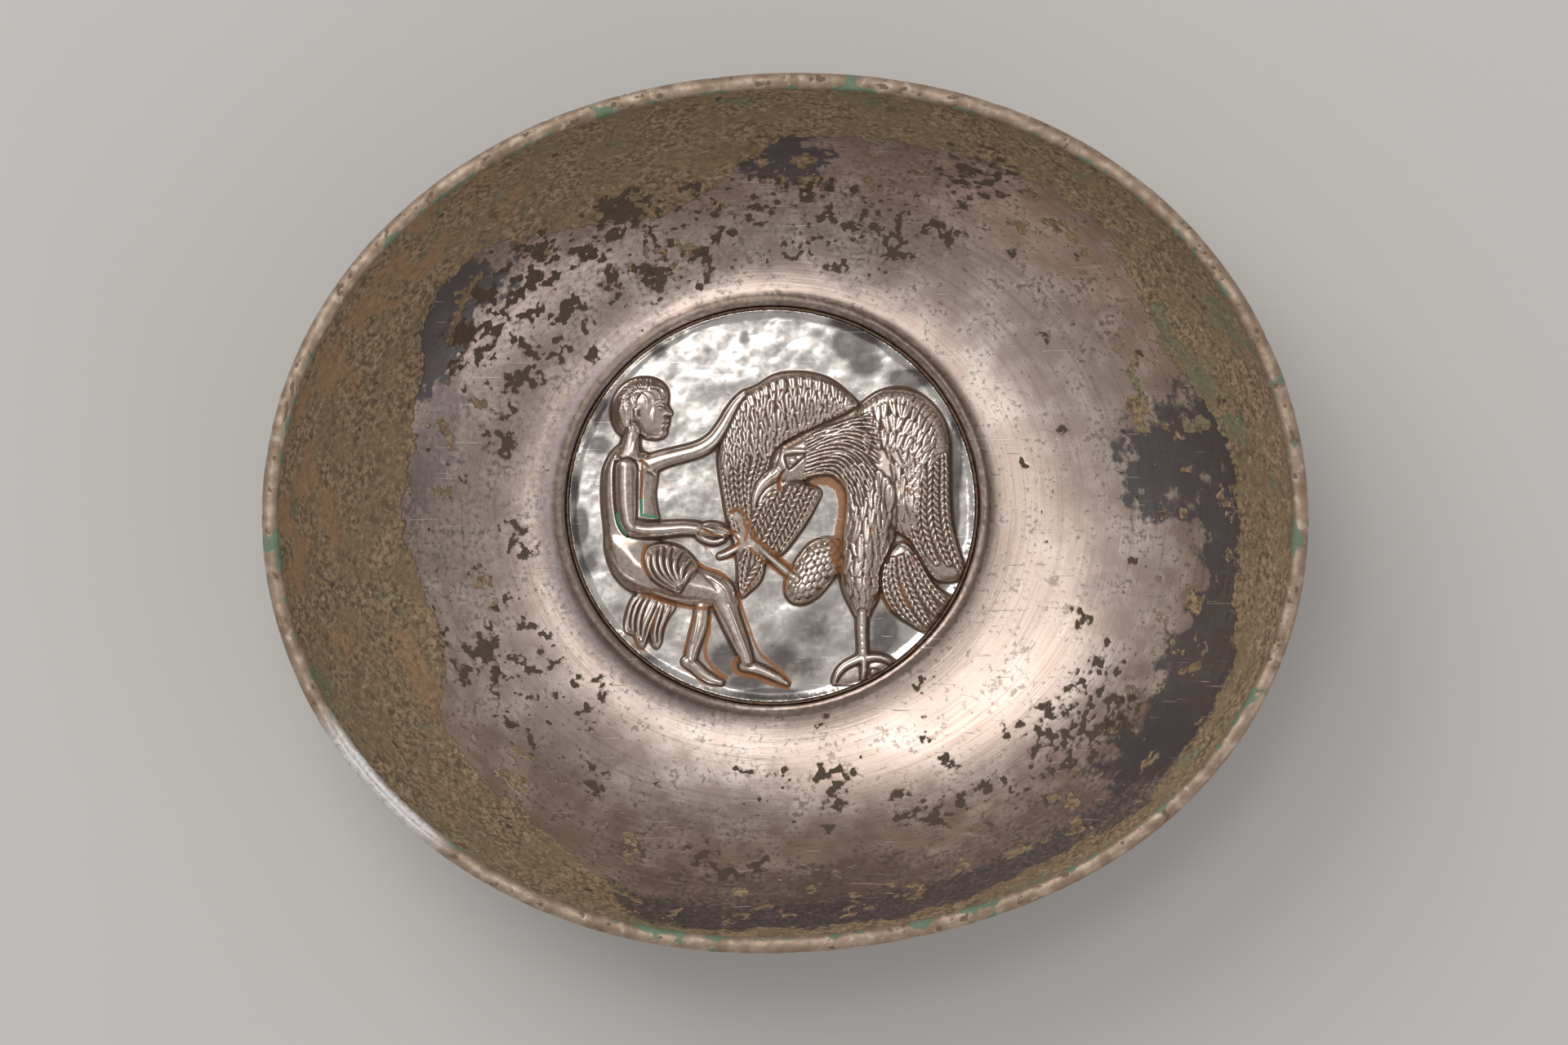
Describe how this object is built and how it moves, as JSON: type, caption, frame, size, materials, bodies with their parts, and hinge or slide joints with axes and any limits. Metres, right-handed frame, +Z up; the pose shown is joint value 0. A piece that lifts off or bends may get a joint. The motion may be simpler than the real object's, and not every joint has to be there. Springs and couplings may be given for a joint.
{
  "type": "bowl",
  "caption": "Shallow oval silver bowl on a low foot ring, with a rounded rim and a round relief disc of a seated youth and an eagle set into its floor.",
  "frame": {"origin": "centre of the rim's box, at the level of the foot's resting face", "axes": "+Z up out of the mouth; +X along the longer width of the oval, to the right of the relief as it is looked at; +Y towards the top of the relief"},
  "size_m": [0.21, 0.1768, 0.0628],
  "materials": {
    "bowl_silver": "old raised silver, hammered, scratched, with tarnish and mineral crust",
    "rim_silver": "worn pitted silver with brown and green corrosion",
    "rim_seam": "corroded copper-rich seam, matt",
    "medallion_silver": "polished silver relief with dark lines and brown stain",
    "soft_filler": "dull lead-tin backing",
    "joint_seam": "rough brown solder line",
    "foot_silver": "turned silver, worn and tarnished",
    "foot_seam": "dull solder fillet"
  },
  "bodies": {
    "root": {"bowl_shell": "bowl_silver", "rim_band": "rim_silver", "rim_solder": "rim_seam", "medallion": "medallion_silver", "medallion_filler": "soft_filler", "medallion_solder": "joint_seam", "foot_ring": "foot_silver", "foot_solder": "foot_seam"}
  },
  "joints": []
}
